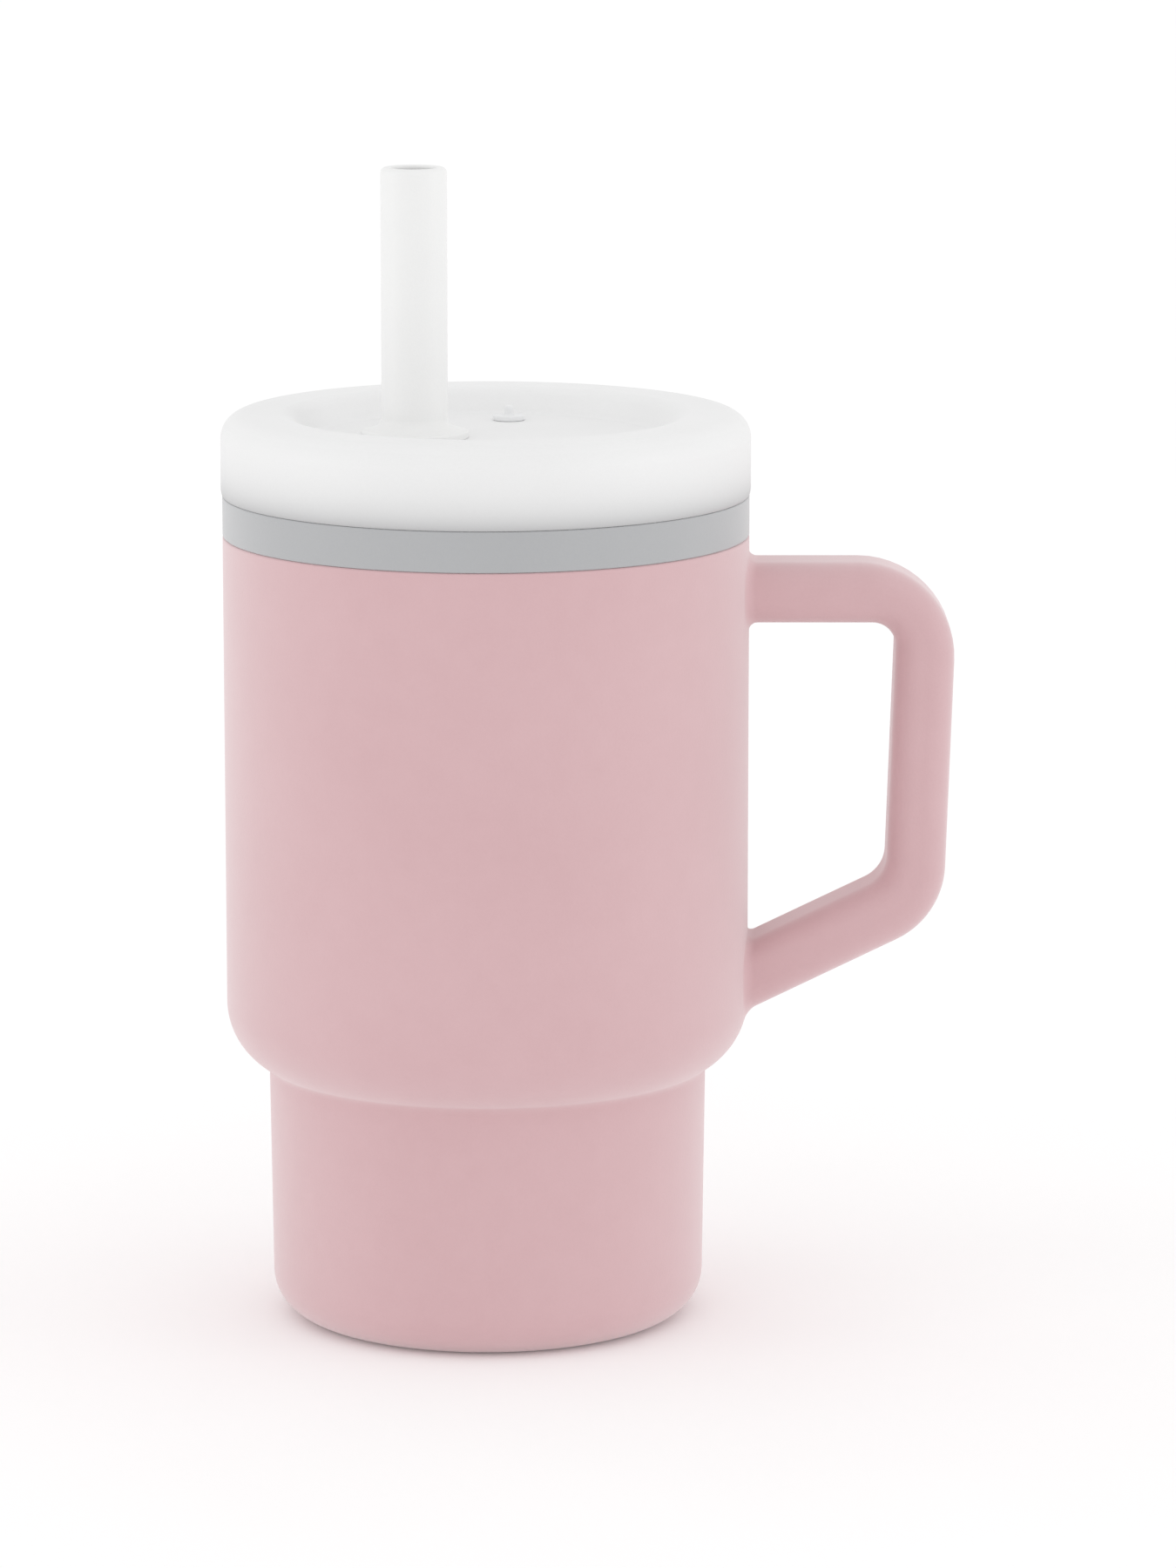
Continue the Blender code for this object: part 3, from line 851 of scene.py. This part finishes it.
# ---------------------------------------------------------------------------------------------------------
# The studio: a pale floor that runs far out on every side, soft white light from all round, and a long lens
# that looks a little down on the cup with its handle to the right.

floor_size = 30
room_light = 0.97
deselect()
bpy.ops.mesh.primitive_plane_add(size=floor_size, location=(0, 0, 0))
floor = bpy.context.object
floor.name = "floor"
bpy.ops.object.transform_apply()
paper_shade = (0.97, 0.97, 0.97)
paper_bright = (0.99, 0.99, 0.99)
paper_glow = {"Emission Strength": 0.05, "Emission Color": (1, 1, 1, 1)}
paper = Finish("white_paper", {"Roughness": 0.9, "Specular IOR Level": 0.0, **paper_glow})
paper.lay("Base Color", paper.mix(paper.noise(0.05), paper_shade, paper_bright))
paper.coat(floor)

world = bpy.data.worlds.new("soft_white_room")
bpy.context.scene.world = world
world.use_nodes = True
world.node_tree.nodes["Background"].inputs["Color"].default_value = (1, 1, 1, 1)
world.node_tree.nodes["Background"].inputs["Strength"].default_value = room_light

# A softbox stands on each side, a little in front of the cup.
softbox_reach = 2.95
softbox_height = 0.5
softbox_angle = math.radians(15)
softbox_width = 1.5
softbox_rise = 1.0
softbox_watts = 7.5
for side in (-1, 1):
    place = (
        side * softbox_reach * math.cos(softbox_angle),
        -softbox_reach * math.sin(softbox_angle),
        softbox_height,
    )
    turn = Vector(place).to_track_quat("Z", "Y").to_euler()
    bpy.ops.object.light_add(type="AREA", location=place, rotation=turn)
    softbox = bpy.context.object.data
    softbox.shape = "RECTANGLE"
    softbox.size = softbox_width
    softbox.size_y = softbox_rise
    softbox.energy = softbox_watts
bpy.context.scene.view_settings.view_transform = "Standard"

camera_distance = 1.000
camera_height = 0.269
camera_side = 0.0151
camera_pitch = 0.1865
sensor_millimetres = 36
lens_millimetres = 156.6
bpy.ops.object.camera_add(
    location=(camera_side, -camera_distance, camera_height),
    rotation=(math.pi / 2 - camera_pitch, 0, 0),
)
camera = bpy.context.object
camera.data.sensor_width = sensor_millimetres
camera.data.lens = lens_millimetres
camera.data.clip_start = 0.05
camera.data.clip_end = 100
bpy.context.scene.camera = camera
